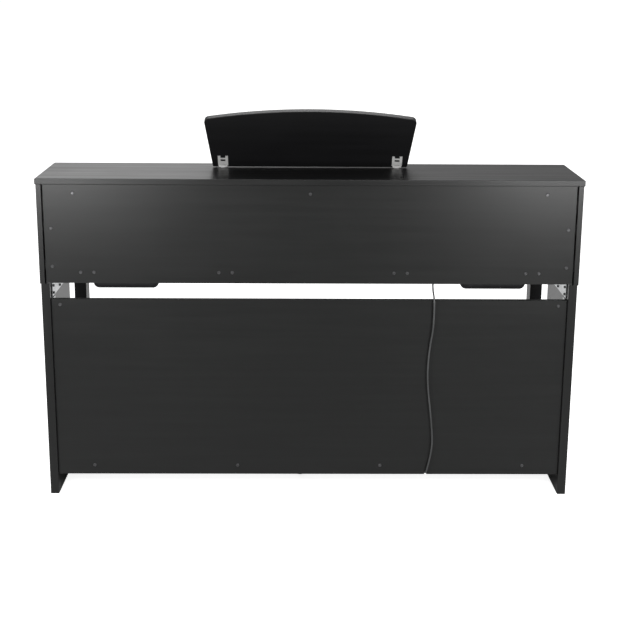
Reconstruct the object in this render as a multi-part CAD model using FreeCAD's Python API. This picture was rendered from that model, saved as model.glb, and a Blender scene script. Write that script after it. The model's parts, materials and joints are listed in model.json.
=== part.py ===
import FreeCAD, Part
import math
import os

# Home digital piano on its own stand, with an 88-key keyboard, a sliding key cover,
# a folding music rest and three pedals.
# Millimetres. +Z is up and Z = 0 is the floor. -Y faces the player and +Y is the back.
# The origin is on the floor, under the middle of the piano.
# "left" and "right" are the player's: left is -X (the bass end), right is +X.
# Depths are given as setbacks: the distance in front of the lid's back edge.

# ---- whole object ----
WIDTH = 1380.0
DEPTH = 425.0
HEIGHT = 855.0

# ---- console ----
BOARD = 15.0                # lid, music rest, front rails
LID_DEPTH = 220.0
LID_UNDERSIDE = HEIGHT - BOARD
CHEEK_INSET = 2.0           # lid overhang past the cheeks
CHEEK_THICKNESS = 12.5
CHEEK_OUTER = WIDTH / 2 - CHEEK_INSET
CHEEK_INNER = CHEEK_OUTER - CHEEK_THICKNESS
CHEEK_SHOULDER = 235.0      # setback where the cheek's top starts to slope
CHEEK_FRONT_HEIGHT = 786.0
CHEEK_NOSE = 25.0
CHEEK_NOSE_RADIUS = 12.0
LID_EDGE_RADIUS = 1.5
CONSOLE_BOTTOM = 581.0
PANEL_SETBACK = 11.0
BACK_PANEL_THICKNESS = 12.0
PANEL_FRONT = PANEL_SETBACK + BACK_PANEL_THICKNESS
PANEL_SIDE_GAP = 2.5
KEY_BED_THICKNESS = 18.0
KEY_BED_TOP = CONSOLE_BOTTOM + KEY_BED_THICKNESS
KEY_SLIP_TOP = 708.0
LID_RAIL_BOTTOM = 804.0
END_BLOCK_TOP = 724.0
END_BLOCK_BACK = 252.0

# ---- power button and volume knob, on the end blocks ----
CONTROL_X = 642.0
CONTROL_SETBACK = 300.0
BUTTON_RADIUS = 6.0
BUTTON_CLEARANCE = 0.4
BUTTON_DEPTH = 9.0
BUTTON_STAND = 2.8
WELL_SPARE = 3.0            # depth left under the pressed button
KNOB_RADIUS = 9.0
KNOB_HEIGHT = 9.0
KNOB_STEM_RADIUS = 3.0
KNOB_STEM_LENGTH = 14.0
KNOB_LIFT = 0.5
POINTER_WIDTH = 1.4
POINTER_DEPTH = 0.8

# ---- keyboard ----
LETTERS = "CDEFGAB"
FIRST_WHITE_IN_OCTAVE = 5   # the lowest key is an A
SINGLE_OCTAVE = 4           # its C to G keys move one by one
SINGLE_LETTERS = "CDEFG"
WHITE_PITCH = 23.5
WHITE_COUNT = 52
KEYBOARD_HALF = WHITE_PITCH * WHITE_COUNT / 2
LOWER_RUN = 3 * WHITE_PITCH / 5    # C to E is split in five
UPPER_RUN = 4 * WHITE_PITCH / 7    # F to B is split in seven
KEY_GAP = 1.0
KEY_FRONT = 407.0           # setback of the white keys' front ends
KEY_BACK = 205.0
KEY_PIVOT = 215.0
KEY_UNDERSIDE = 702.0
KEY_PIVOT_HEIGHT = 709.0
KEY_ROD_RADIUS = 2.0
WHITE_HEIGHT = 20.0
WHITE_TOP = KEY_UNDERSIDE + WHITE_HEIGHT
WHITE_HEAD = 52.0           # full-width front part of a white key
SHARP_FRONT = KEY_FRONT - WHITE_HEAD - 1.0
SHARP_WIDTH = 10.0
SHARP_RISE = 12.0
SHARP_SLOPE = 9.0
SHARP_CLEARANCE = 1.2
EDGE_BREAK = 0.8
FRAME_FLOOR = 4.0           # thickness of the chassis's floor plate
PIVOT_RAIL_TOP = 700.5
STOP_RAIL_BACK = 300.0
STOP_RAIL_WIDTH = 12.0
STOP_RAIL_TOP = 660.0
GUIDE_RAIL_BACK = 380.0
GUIDE_RAIL_WIDTH = 14.0
GUIDE_RAIL_TOP = 684.0
ROD_EAR_REACH = 8.0         # from the rod to the ear's front and back faces
ROD_EAR_RISE = 6.0
ROD_EAR_WIDTH = 4.0
ROD_EAR_GAP = 0.5

# ---- sliding key cover ----
COVER_SLOPE = 8.0           # degrees down towards the player
COVER_THICKNESS = 12.0
COVER_LENGTH = 190.0
COVER_FRONT = 235.0         # setback of its front edge when open
COVER_FRONT_TOP = 798.0
COVER_TRAVEL = 170.0
COVER_RAIL_THICKNESS = 16.0
COVER_RAIL_DROP = 34.0
FINGER_GROOVE_RADIUS = 3.0
FINGER_GROOVE_RISE = 10.0
GROOVE_DEPTH = 6.0
GROOVE_CLEARANCE = 0.5

# ---- music rest ----
REST_LEAN = 24.0            # degrees back from upright
REST_FOOT_SETBACK = 165.0
REST_FOOT_HEIGHT = HEIGHT + 0.7
REST_BOTTOM_HALF = 257.4
REST_TOP_HALF = 275.5
REST_CROWN = 171.8
REST_TOP_RADIUS = 1570.0
REST_CORNER = 13.0
REST_AXIS_BEHIND = 4.0      # hinge axis from the rest's bottom back edge
REST_AXIS_ABOVE = 2.1
REST_RIM_RADIUS = 1.5
CLIP_CENTRE = 230.0
CLIP_WIDTH = 26.5
CLIP_BOTTOM = 1.0           # from the rest's bottom edge, along its back
CLIP_TOP = 35.0
CLIP_THICKNESS = 1.5
CLIP_CORNER = 4.5
CLIP_WINDOW = 13.0          # width of the notch and of the slot below it
CLIP_NOTCH_DEPTH = 6.5
CLIP_SLOT_BOTTOM = 18.5
CLIP_SLOT_HEIGHT = 6.0
HINGE_WINDOW_TOP = 6.6      # the plate is cut away below this for the lid's ear
KNUCKLE_RADIUS = 2.5
MIDDLE_KNUCKLE = 12.0
KNUCKLE_GAP = 0.4
HINGE_PIN_RADIUS = 1.2
HINGE_STUD_RADIUS = 2.0
HINGE_STUD_LENGTH = 11.0
RUNNING_CLEARANCE = 0.05

# ---- stand ----
SIDE_OUTER = CHEEK_OUTER - 2.5
SIDE_THICKNESS = 22.0
SIDE_INNER = SIDE_OUTER - SIDE_THICKNESS
SIDE_SETBACK = 3.0
SIDE_DEPTH = 220.0
SIDE_FRONT = SIDE_SETBACK + SIDE_DEPTH
LEG_WIDTH = 34.5
LEG_BACK = 377.0
LEG_FRONT = 422.0
FOOT_HEIGHT = 45.0
STAND_PANEL_BOTTOM = 53.0
STAND_PANEL_TOP = 537.5
STAND_PANEL_GAP = 1.0
PANEL_GROOVE_DEPTH = 6.0    # groove in each side board that holds the panel's tongue
TONGUE_LENGTH = 5.0
TONGUE_BACK = PANEL_SETBACK + 2.0
TONGUE_FRONT = PANEL_FRONT - 2.0
TONGUE_CLEARANCE = 0.2
LEG_EDGE_RADIUS = 1.0

# ---- pedals ----
PEDAL_BOX_FRONT = 170.0
PEDAL_BOX_BOTTOM = 50.0
PEDAL_BOX_TOP = 120.0
PEDAL_PITCH = 70.0
PEDAL_POSITIONS = {"pedal_left": -PEDAL_PITCH, "pedal_middle": 0.0, "pedal_right": PEDAL_PITCH}
PEDAL_PIVOT = 90.0
PEDAL_PIVOT_HEIGHT = 80.0
PEDAL_STEM_WIDTH = 14.0
PEDAL_TIP_WIDTH = 23.0
PEDAL_TIP = 246.0
PEDAL_THICKNESS = 8.0
PEDAL_HUB_RADIUS = 8.0
PEDAL_TIP_RADIUS = 9.0
PEDAL_TAPER_START = 4.0     # past the box front, where the stem starts to widen
PEDAL_TAPER_END = 34.0
PEDAL_SHAFT_RADIUS = 4.0
SHAFT_HALF_LENGTH = 105.0
POCKET_WIDTH = 27.0
POCKET_BOTTOM = 58.0
POCKET_TOP = 94.0
POCKET_BACK = 66.0
ADJUSTER_X = 23.0
ADJUSTER_SETBACK = 124.5
ADJUSTER_RADIUS = 13.0
ADJUSTER_STEM_RADIUS = 4.0
ADJUSTER_DISC = 9.0
ADJUSTER_TOP = 90.0
ADJUSTER_BORE_TOP = 108.0

# ---- speakers ----
SPEAKER_X = 477.8
SPEAKER_SETBACK = 125.0
HOUSING_WIDTH = 170.0
HOUSING_LENGTH = 160.0
HOUSING_DROP = 27.3
HOUSING_WALL = 3.0
HOUSING_CORNER = 16.0
SPEAKER_HOLE_RADIUS = 56.0
SOUND_SLOT_LENGTH = 104.0
SOUND_SLOT_WIDTH = 4.0
SOUND_SLOT_PITCH = 10.0
SOUND_SLOTS = 11

# ---- sockets ----
SOCKET_X = -318.5
SOCKET_SETBACK = 34.0
SOCKET_FACE = 596.0
SOCKET_BOX_HALF = 30.0
SOCKET_BOX_FRONT = 60.0
SOCKET_BOX_TOP = 626.0
INLET_X = -330.0
INLET_SETBACK = 205.0
INLET_RADIUS = 2.8
INLET_DEPTH = 10.0
INLET_BOX_DROP = 18.0
INLET_BOX_HALF_WIDTH = 20.0
INLET_BOX_HALF_DEPTH = 18.0
JACK_X = -600.0
JACK_SPACING = 24.0
JACK_RADIUS = 3.25
JACK_DEPTH = 16.0
JACK_HEIGHT = 568.0
JACK_BOX_FRONT = 400.0
JACK_BOX_BACK = 345.0
JACK_BOX_HALF_WIDTH = 28.0
JACK_BOX_DROP = 28.0

# ---- pedal cable and its plug ----
CABLE_DIAMETER = 4.5
CABLE_TOP = 579.0
PLUG_RADIUS = 5.0
PLUG_NECK_RADIUS = 3.2
PLUG_NECK_TOP = 584.0
PLUG_PIN_RADIUS = 1.75
PLUG_PIN_LENGTH = 8.0
GLAND_X = -310.5
GLAND_HEIGHT = 56.5
GLAND_RADIUS = 4.5
GLAND_BARREL = 6.0
CABLE_NOTCH_WIDTH = 6.0
CABLE_NOTCH_TOP = 59.5

# ---- fasteners and brackets ----
SCREW_SHANK_RADIUS = 2.0
SCREW_LENGTH = 20.0
SCREW_HEAD_RADIUS = 4.5
SCREW_CROWN_RADIUS = 3.2
SCREW_HEAD_HEIGHT = 2.2
SOCKET_HEX_RADIUS = 1.9     # to the corners of the key's hexagon
SOCKET_HEX_DEPTH = 1.5
TOP_SCREWS = [(x, 816.0) for x in (-598.0, 0.0, 598.0)]
SIDE_SCREWS = [(x, z) for x in (-656.0, 656.0) for z in (625.0, 725.0)]
BED_SCREW_PAIRS = [-569.5, -232.0, 215.5, 568.0]
BED_SCREW_SPACING = 34.0
BED_SCREW_HEIGHT = 609.5
CLEAT_SCREWS = [(x, 523.0) for x in (-641.0, 641.0)]
PEDAL_BOX_SCREWS = [(x, 78.0) for x in (-567.5, -189.0, 189.0, 567.5)]
STEEL = 2.0                 # sheet thickness of every bracket
LID_BRACKET_HALF = 15.0
LID_BRACKET_FLANGE = 24.0
CLEAT_HALF = 13.0
CLEAT_ARM = 28.0
CLEAT_FLANGE = 26.0
BED_BRACKET_HALF = 29.0
BED_BRACKET_RISE = 22.0
BRACKET_BACK = 24.0         # the large angles that carry the console
BRACKET_LENGTH = 172.0
BRACKET_DROP = 41.0
BRACKET_REACH = 36.0
BRACKET_SCREW_SETBACKS = [34.0, 102.0, 170.0]
BRACKET_SCREW_HEIGHTS = [548.0, 567.0]
BRACKET_SCREW_HEAD_RADIUS = 3.2
BRACKET_SCREW_HEAD_HEIGHT = 3.0
BRACKET_SCREW_LENGTH = 14.0


def from_back(setback):
    """Y of a point this far in front of the lid's back edge."""
    return DEPTH / 2 - setback


def block(x_low, x_high, back, front, bottom, top):
    """A box between two X values, two setbacks and two heights."""
    corner = FreeCAD.Vector(x_low, from_back(front), bottom)
    return Part.makeBox(x_high - x_low, front - back, top - bottom, corner)


def upright_cylinder(x, setback, bottom, top, radius):
    base = FreeCAD.Vector(x, from_back(setback), bottom)
    return Part.makeCylinder(radius, top - bottom, base)


def cylinder_along_x(x_low, x_high, y, z, radius):
    base = FreeCAD.Vector(x_low, y, z)
    return Part.makeCylinder(radius, x_high - x_low, base, FreeCAD.Vector(1, 0, 0))


def cylinder_along_depth(x, z, back, front, radius):
    base = FreeCAD.Vector(x, from_back(front), z)
    return Part.makeCylinder(radius, front - back, base, FreeCAD.Vector(0, 1, 0))


def mirrored(shape):
    """The same piece on the other side of the piano."""
    return shape.mirror(FreeCAD.Vector(0, 0, 0), FreeCAD.Vector(1, 0, 0))


def fused(shapes):
    return shapes[0].multiFuse(shapes[1:]).removeSplitter()


def edges_along(shape, direction):
    """Straight edges parallel to a direction."""
    found = []
    for edge in shape.Edges:
        if not isinstance(edge.Curve, Part.Line):
            continue
        if edge.Curve.Direction.cross(direction).Length < 1e-6:
            found.append(edge)
    return found


def side_profile(points, x_low, x_high):
    """Extrude a closed outline of (setback, height) points along X."""
    corners = [FreeCAD.Vector(x_low, from_back(s), z) for s, z in points]
    outline = Part.makePolygon(corners + corners[:1])
    return Part.Face(outline).extrude(FreeCAD.Vector(x_high - x_low, 0, 0))


# ---- fasteners and small steel brackets ----

def bed_screws():
    half = BED_SCREW_SPACING / 2
    return [(x + side * half, BED_SCREW_HEIGHT) for x in BED_SCREW_PAIRS for side in (-1, 1)]


def upper_panel_screws():
    return TOP_SCREWS + SIDE_SCREWS + bed_screws()


def lower_panel_screws():
    return CLEAT_SCREWS + PEDAL_BOX_SCREWS


def screw_hole(x, z):
    """The shank's space, from the panel's back face forwards."""
    return cylinder_along_depth(x, z, PANEL_SETBACK, PANEL_SETBACK + SCREW_LENGTH,
                                SCREW_SHANK_RADIUS)


def hex_socket(x, z):
    """The space for a hex key in a screw's head."""
    y = from_back(PANEL_SETBACK - SCREW_HEAD_HEIGHT)
    corners = []
    for turn in range(7):
        angle = math.radians(60 * turn)
        corners.append(FreeCAD.Vector(x + SOCKET_HEX_RADIUS * math.cos(angle), y,
                                      z + SOCKET_HEX_RADIUS * math.sin(angle)))
    face = Part.Face(Part.makePolygon(corners))
    return face.extrude(FreeCAD.Vector(0, -SOCKET_HEX_DEPTH, 0))


def panel_screw(x, z):
    """A pan-head screw with a hex socket, driven in from the back."""
    head = Part.makeCone(SCREW_HEAD_RADIUS, SCREW_CROWN_RADIUS, SCREW_HEAD_HEIGHT,
                         FreeCAD.Vector(x, from_back(PANEL_SETBACK), z),
                         FreeCAD.Vector(0, 1, 0))
    return fused([head.cut(hex_socket(x, z)), screw_hole(x, z)])


def panel_screws():
    return Part.makeCompound([panel_screw(x, z)
                              for x, z in upper_panel_screws() + lower_panel_screws()])


def lid_bracket(x, z):
    """Steel angle that ties the back panel to the lid's underside."""
    x_low = x - LID_BRACKET_HALF
    x_high = x + LID_BRACKET_HALF
    upright = block(x_low, x_high, PANEL_FRONT, PANEL_FRONT + STEEL, z - CLEAT_HALF,
                    LID_UNDERSIDE)
    flange = block(x_low, x_high, PANEL_FRONT, PANEL_FRONT + LID_BRACKET_FLANGE,
                   LID_UNDERSIDE - STEEL, LID_UNDERSIDE)
    return fused([upright, flange])


def bed_bracket(x):
    """Steel angle that ties the back panel to the key bed."""
    x_low = x - BED_BRACKET_HALF
    x_high = x + BED_BRACKET_HALF
    upright = block(x_low, x_high, PANEL_FRONT, PANEL_FRONT + STEEL, KEY_BED_TOP,
                    KEY_BED_TOP + BED_BRACKET_RISE)
    flange = block(x_low, x_high, PANEL_FRONT, PANEL_FRONT + CLEAT_FLANGE,
                   KEY_BED_TOP, KEY_BED_TOP + STEEL)
    return fused([upright, flange])


def side_bracket(x, z, wall):
    """Steel angle between a back panel and the right-hand board beside it, or the left's."""
    bottom = z - CLEAT_HALF
    top = z + CLEAT_HALF
    upright = block(wall - CLEAT_ARM, wall, PANEL_FRONT, PANEL_FRONT + STEEL, bottom, top)
    flange = block(wall - STEEL, wall, PANEL_FRONT, PANEL_FRONT + CLEAT_FLANGE, bottom, top)
    shape = fused([upright, flange])
    return shape if x > 0 else mirrored(shape)


def panel_brackets():
    pieces = [lid_bracket(x, z) for x, z in TOP_SCREWS]
    pieces += [bed_bracket(x) for x in BED_SCREW_PAIRS]
    pieces += [side_bracket(x, z, CHEEK_INNER) for x, z in SIDE_SCREWS]
    pieces += [side_bracket(x, z, SIDE_INNER) for x, z in CLEAT_SCREWS]
    holes = [screw_hole(x, z) for x, z in upper_panel_screws() + CLEAT_SCREWS]
    drilled = []
    for piece in pieces:
        near = [hole for hole in holes if piece.BoundBox.intersect(hole.BoundBox)]
        drilled.append(piece.cut(near))
    return Part.makeCompound(drilled)


def bracket_screw(setback, z):
    """Button-head screw through the right bracket into the side board."""
    head_face = SIDE_INNER - STEEL
    head = cylinder_along_x(head_face - BRACKET_SCREW_HEAD_HEIGHT, head_face,
                            from_back(setback), z, BRACKET_SCREW_HEAD_RADIUS)
    shank = cylinder_along_x(head_face, head_face + BRACKET_SCREW_LENGTH,
                             from_back(setback), z, SCREW_SHANK_RADIUS)
    return fused([head, shank])


def bracket_screw_shapes():
    right = [bracket_screw(s, z) for s in BRACKET_SCREW_SETBACKS for z in BRACKET_SCREW_HEIGHTS]
    return right + [mirrored(screw) for screw in right]


def bracket_screws():
    return Part.makeCompound(bracket_screw_shapes())


def angle_bracket_right():
    """Galvanised angle that carries the console on a side board."""
    front = BRACKET_BACK + BRACKET_LENGTH
    upright = block(SIDE_INNER - STEEL, SIDE_INNER, BRACKET_BACK, front,
                    CONSOLE_BOTTOM - BRACKET_DROP, CONSOLE_BOTTOM)
    flange = block(SIDE_INNER - BRACKET_REACH, SIDE_INNER, BRACKET_BACK, front,
                   CONSOLE_BOTTOM - STEEL, CONSOLE_BOTTOM)
    return fused([upright, flange]).cut(bracket_screw_shapes())


# ---- console case ----

def lid_top():
    lid = block(-WIDTH / 2, WIDTH / 2, 0, LID_DEPTH, LID_UNDERSIDE, HEIGHT)
    lid = lid.makeFillet(LID_EDGE_RADIUS, lid.Edges)
    return lid.cut([hinge_stud(x) for x in (-CLIP_CENTRE, CLIP_CENTRE)])


def lid_front_rail():
    """Rail under the lid's front edge; the key cover slides below it."""
    return block(-CHEEK_INNER, CHEEK_INNER, LID_DEPTH - BOARD, LID_DEPTH,
                 LID_RAIL_BOTTOM, LID_UNDERSIDE)


def cover_frame(shape):
    """Tilt a piece drawn level and put it at the open cover's front edge."""
    shape.rotate(FreeCAD.Vector(0, 0, 0), FreeCAD.Vector(1, 0, 0), COVER_SLOPE)
    shape.translate(FreeCAD.Vector(0, from_back(COVER_FRONT), COVER_FRONT_TOP))
    return shape


def cover_groove():
    """Space the cover's edge slides in, cut into the right cheek's inner face."""
    reach = COVER_TRAVEL + GROOVE_CLEARANCE
    length = reach + COVER_LENGTH + GROOVE_CLEARANCE
    groove = Part.makeBox(2 * GROOVE_DEPTH, length, COVER_THICKNESS + 2 * GROOVE_CLEARANCE,
                          FreeCAD.Vector(CHEEK_INNER - GROOVE_DEPTH, -reach,
                                         -COVER_THICKNESS - GROOVE_CLEARANCE))
    return cover_frame(groove)


def cheek_right():
    outline = [(SIDE_SETBACK, CONSOLE_BOTTOM), (SIDE_SETBACK, LID_UNDERSIDE),
               (CHEEK_SHOULDER, LID_UNDERSIDE), (DEPTH - CHEEK_NOSE, CHEEK_FRONT_HEIGHT),
               (DEPTH, CHEEK_FRONT_HEIGHT - CHEEK_NOSE), (DEPTH, CONSOLE_BOTTOM)]
    cheek = side_profile(outline, CHEEK_INNER, CHEEK_OUTER)
    nose = [edge for edge in edges_along(cheek, FreeCAD.Vector(1, 0, 0))
            if edge.BoundBox.YMax < from_back(CHEEK_SHOULDER - 1)
            and edge.BoundBox.ZMin > KEY_BED_TOP]
    cheek = cheek.makeFillet(CHEEK_NOSE_RADIUS, nose)
    outer = [edge for edge in cheek.Edges
             if edge.BoundBox.XMin > CHEEK_OUTER - 0.01]
    return cheek.makeChamfer(EDGE_BREAK, outer).cut(cover_groove())


def console_back_panel():
    half = CHEEK_INNER - PANEL_SIDE_GAP
    panel = block(-half, half, PANEL_SETBACK, PANEL_FRONT, CONSOLE_BOTTOM, LID_UNDERSIDE - 1)
    return panel.cut([screw_hole(x, z) for x, z in upper_panel_screws()])


def socket_notch():
    return block(SOCKET_X - SOCKET_BOX_HALF, SOCKET_X + SOCKET_BOX_HALF, PANEL_FRONT,
                 SOCKET_BOX_FRONT, CONSOLE_BOTTOM, KEY_BED_TOP)


def key_bed():
    bed = block(-CHEEK_INNER, CHEEK_INNER, PANEL_FRONT, DEPTH - BOARD,
                CONSOLE_BOTTOM, KEY_BED_TOP)
    holes = [upright_cylinder(x, SPEAKER_SETBACK, CONSOLE_BOTTOM, KEY_BED_TOP,
                              SPEAKER_HOLE_RADIUS) for x in (-SPEAKER_X, SPEAKER_X)]
    return bed.cut(holes + [socket_notch()])


def key_slip():
    slip = block(-CHEEK_INNER, CHEEK_INNER, DEPTH - BOARD, DEPTH, CONSOLE_BOTTOM, KEY_SLIP_TOP)
    front = [edge for edge in edges_along(slip, FreeCAD.Vector(1, 0, 0))
             if edge.BoundBox.YMax < from_back(DEPTH - 1)]
    return slip.makeFillet(3.0, front)


def end_block():
    """Solid block between the last key and the cheek, right-hand side."""
    inner = KEYBOARD_HALF + 2
    end = block(inner, CHEEK_INNER, END_BLOCK_BACK, DEPTH - BOARD, KEY_BED_TOP, END_BLOCK_TOP)
    top = [edge for edge in end.Edges if edge.BoundBox.ZMin > END_BLOCK_TOP - 1]
    return end.makeFillet(1.5, top)


def end_block_right():
    well = upright_cylinder(CONTROL_X, CONTROL_SETBACK,
                            END_BLOCK_TOP - BUTTON_DEPTH - WELL_SPARE, END_BLOCK_TOP,
                            BUTTON_RADIUS + BUTTON_CLEARANCE)
    return end_block().cut(well)


def end_block_left():
    bore = upright_cylinder(-CONTROL_X, CONTROL_SETBACK,
                            END_BLOCK_TOP - KNOB_STEM_LENGTH - 2, END_BLOCK_TOP,
                            KNOB_STEM_RADIUS + RUNNING_CLEARANCE)
    return mirrored(end_block()).cut(bore)


def power_button():
    button = upright_cylinder(CONTROL_X, CONTROL_SETBACK, END_BLOCK_TOP - BUTTON_DEPTH,
                              END_BLOCK_TOP + BUTTON_STAND, BUTTON_RADIUS)
    return button.makeFillet(1.0, [edge for edge in button.Edges
                                   if edge.BoundBox.ZMin > END_BLOCK_TOP])


def volume_knob():
    foot = END_BLOCK_TOP + KNOB_LIFT
    cap = upright_cylinder(-CONTROL_X, CONTROL_SETBACK, foot, foot + KNOB_HEIGHT, KNOB_RADIUS)
    cap = cap.makeFillet(1.2, [edge for edge in cap.Edges
                               if edge.BoundBox.ZMin > foot + KNOB_HEIGHT - 0.1])
    pointer = block(-CONTROL_X - POINTER_WIDTH / 2, -CONTROL_X + POINTER_WIDTH / 2,
                    CONTROL_SETBACK - KNOB_RADIUS, CONTROL_SETBACK - 2,
                    foot + KNOB_HEIGHT - POINTER_DEPTH, foot + KNOB_HEIGHT)
    stem = upright_cylinder(-CONTROL_X, CONTROL_SETBACK, END_BLOCK_TOP - KNOB_STEM_LENGTH,
                            foot, KNOB_STEM_RADIUS)
    return fused([cap.cut(pointer), stem])


# ---- key cover ----

def key_cover():
    half = CHEEK_INNER + GROOVE_DEPTH - GROOVE_CLEARANCE
    panel = Part.makeBox(2 * half, COVER_LENGTH, COVER_THICKNESS,
                         FreeCAD.Vector(-half, 0, -COVER_THICKNESS))
    return cover_frame(panel)


def key_cover_rail():
    """Front lip of the cover, with a finger groove along it."""
    half = CHEEK_INNER - 2
    drop = COVER_THICKNESS + COVER_RAIL_DROP
    rail = Part.makeBox(2 * half, COVER_RAIL_THICKNESS, COVER_RAIL_DROP,
                        FreeCAD.Vector(-half, 0, -drop))
    rail = rail.makeFillet(3.0, [edge for edge in edges_along(rail, FreeCAD.Vector(1, 0, 0))
                                 if edge.BoundBox.ZMax < 1 - drop])
    groove = Part.makeCylinder(FINGER_GROOVE_RADIUS, half,
                               FreeCAD.Vector(-half / 2, 0, FINGER_GROOVE_RISE - drop),
                               FreeCAD.Vector(1, 0, 0))
    return cover_frame(rail.cut(groove))


# ---- keyboard ----

def sharp_centre(name):
    """Centre of a sharp, measured from its octave's left edge."""
    lower = {"C": 1.5, "D": 3.5}
    upper = {"F": 1.5, "G": 3.5, "A": 5.5}
    if name in lower:
        return lower[name] * LOWER_RUN
    return 3 * WHITE_PITCH + upper[name] * UPPER_RUN


def key_line():
    """Every key from the lowest: (letter, octave, is_sharp, left edge or centre)."""
    keys = []
    for index in range(WHITE_COUNT):
        step = index + FIRST_WHITE_IN_OCTAVE
        letter = LETTERS[step % 7]
        octave = step // 7
        octave_edge = -KEYBOARD_HALF + (7 * octave - FIRST_WHITE_IN_OCTAVE) * WHITE_PITCH
        keys.append((letter, octave, False, -KEYBOARD_HALF + index * WHITE_PITCH))
        if letter in "CDFGA" and index < WHITE_COUNT - 1:
            keys.append((letter, octave, True, octave_edge + sharp_centre(letter)))
    return keys


def rod_space():
    """The bore in every key for the pivot rod."""
    return cylinder_along_x(-KEYBOARD_HALF, KEYBOARD_HALF, from_back(KEY_PIVOT),
                            KEY_PIVOT_HEIGHT, KEY_ROD_RADIUS + RUNNING_CLEARANCE)


def sharp_key(centre):
    half = SHARP_WIDTH / 2
    outline = [(KEY_BACK, KEY_UNDERSIDE), (KEY_BACK, WHITE_TOP),
               (END_BLOCK_BACK, WHITE_TOP), (END_BLOCK_BACK, WHITE_TOP + SHARP_RISE),
               (SHARP_FRONT - SHARP_SLOPE, WHITE_TOP + SHARP_RISE),
               (SHARP_FRONT, WHITE_TOP), (SHARP_FRONT, KEY_UNDERSIDE)]
    key = side_profile(outline, centre - half, centre + half)
    crown = [edge for edge in key.Edges
             if edge.BoundBox.ZMin > WHITE_TOP + SHARP_RISE - 0.1
             and edge.BoundBox.YLength > 1]
    return key.makeFillet(1.2, crown).cut(rod_space())


def white_key(left_edge, sharps):
    """Full-width head, narrowed behind it where a sharp's space cuts in."""
    low = left_edge + KEY_GAP / 2
    high = left_edge + WHITE_PITCH - KEY_GAP / 2
    key = block(low, high, KEY_BACK, KEY_FRONT, KEY_UNDERSIDE, WHITE_TOP)
    top_front = [edge for edge in key.Edges
                 if edge.BoundBox.YMax < from_back(KEY_FRONT - 1)
                 and edge.BoundBox.ZMin > WHITE_TOP - 1]
    key = key.makeFillet(1.5, top_front)
    half = SHARP_WIDTH / 2 + SHARP_CLEARANCE
    for centre in sharps:
        if centre + half > low and centre - half < high:
            space = block(centre - half, centre + half, KEY_BACK - 1, KEY_FRONT - WHITE_HEAD,
                          KEY_UNDERSIDE - 1, WHITE_TOP + 1)
            key = key.cut(space)
    return key.cut(rod_space())


def key_group(letter, octave, is_sharp):
    """Which keys move with which: single keys by name, the others in two blocks."""
    single = octave == SINGLE_OCTAVE and letter in SINGLE_LETTERS
    if single and not (letter == "G" and is_sharp):
        return letter.lower() + "_sharp_key" if is_sharp else letter.lower() + "_key"
    side = "bass" if octave < SINGLE_OCTAVE else "treble"
    return ("black_keys_" if is_sharp else "white_keys_") + side


def keyboard():
    """All the keys as solids, grouped by node name."""
    line = key_line()
    sharps = [x for letter, octave, is_sharp, x in line if is_sharp]
    groups = {}
    for letter, octave, is_sharp, x in line:
        key = sharp_key(x) if is_sharp else white_key(x, sharps)
        groups.setdefault(key_group(letter, octave, is_sharp), []).append(key)
    return groups


def key_rod():
    """Steel rod through every key, held by the ears at the chassis's ends."""
    half = KEYBOARD_HALF + ROD_EAR_GAP + ROD_EAR_WIDTH
    return cylinder_along_x(-half, half, from_back(KEY_PIVOT), KEY_PIVOT_HEIGHT,
                            KEY_ROD_RADIUS)


def rod_ear(side):
    """Ear at one end of the chassis, joined to the pivot rail by a foot."""
    inner = KEYBOARD_HALF + ROD_EAR_GAP
    outer = inner + ROD_EAR_WIDTH
    back = KEY_PIVOT - ROD_EAR_REACH
    front = KEY_PIVOT + ROD_EAR_REACH
    ear = block(inner, outer, back, front, KEY_BED_TOP, KEY_PIVOT_HEIGHT + ROD_EAR_RISE)
    foot = block(inner - 5, outer, back, front, KEY_BED_TOP, KEY_BED_TOP + FRAME_FLOOR)
    shape = fused([ear, foot])
    return shape if side > 0 else mirrored(shape)


def key_frame():
    """Chassis under the keys: floor plate, pivot, stop and guide rails, rod ears."""
    half = KEYBOARD_HALF
    floor = block(-half, half, KEY_BACK, KEY_FRONT, KEY_BED_TOP, KEY_BED_TOP + FRAME_FLOOR)
    pivot_rail = block(-half, half, KEY_PIVOT - ROD_EAR_REACH, KEY_PIVOT + ROD_EAR_REACH / 2,
                       KEY_BED_TOP, PIVOT_RAIL_TOP)
    stop_rail = block(-half, half, STOP_RAIL_BACK, STOP_RAIL_BACK + STOP_RAIL_WIDTH,
                      KEY_BED_TOP, STOP_RAIL_TOP)
    guide_rail = block(-half, half, GUIDE_RAIL_BACK, GUIDE_RAIL_BACK + GUIDE_RAIL_WIDTH,
                       KEY_BED_TOP, GUIDE_RAIL_TOP)
    return fused([floor, pivot_rail, stop_rail, guide_rail,
                  rod_ear(-1), rod_ear(1)]).cut(key_rod())


# ---- electronics ----

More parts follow.
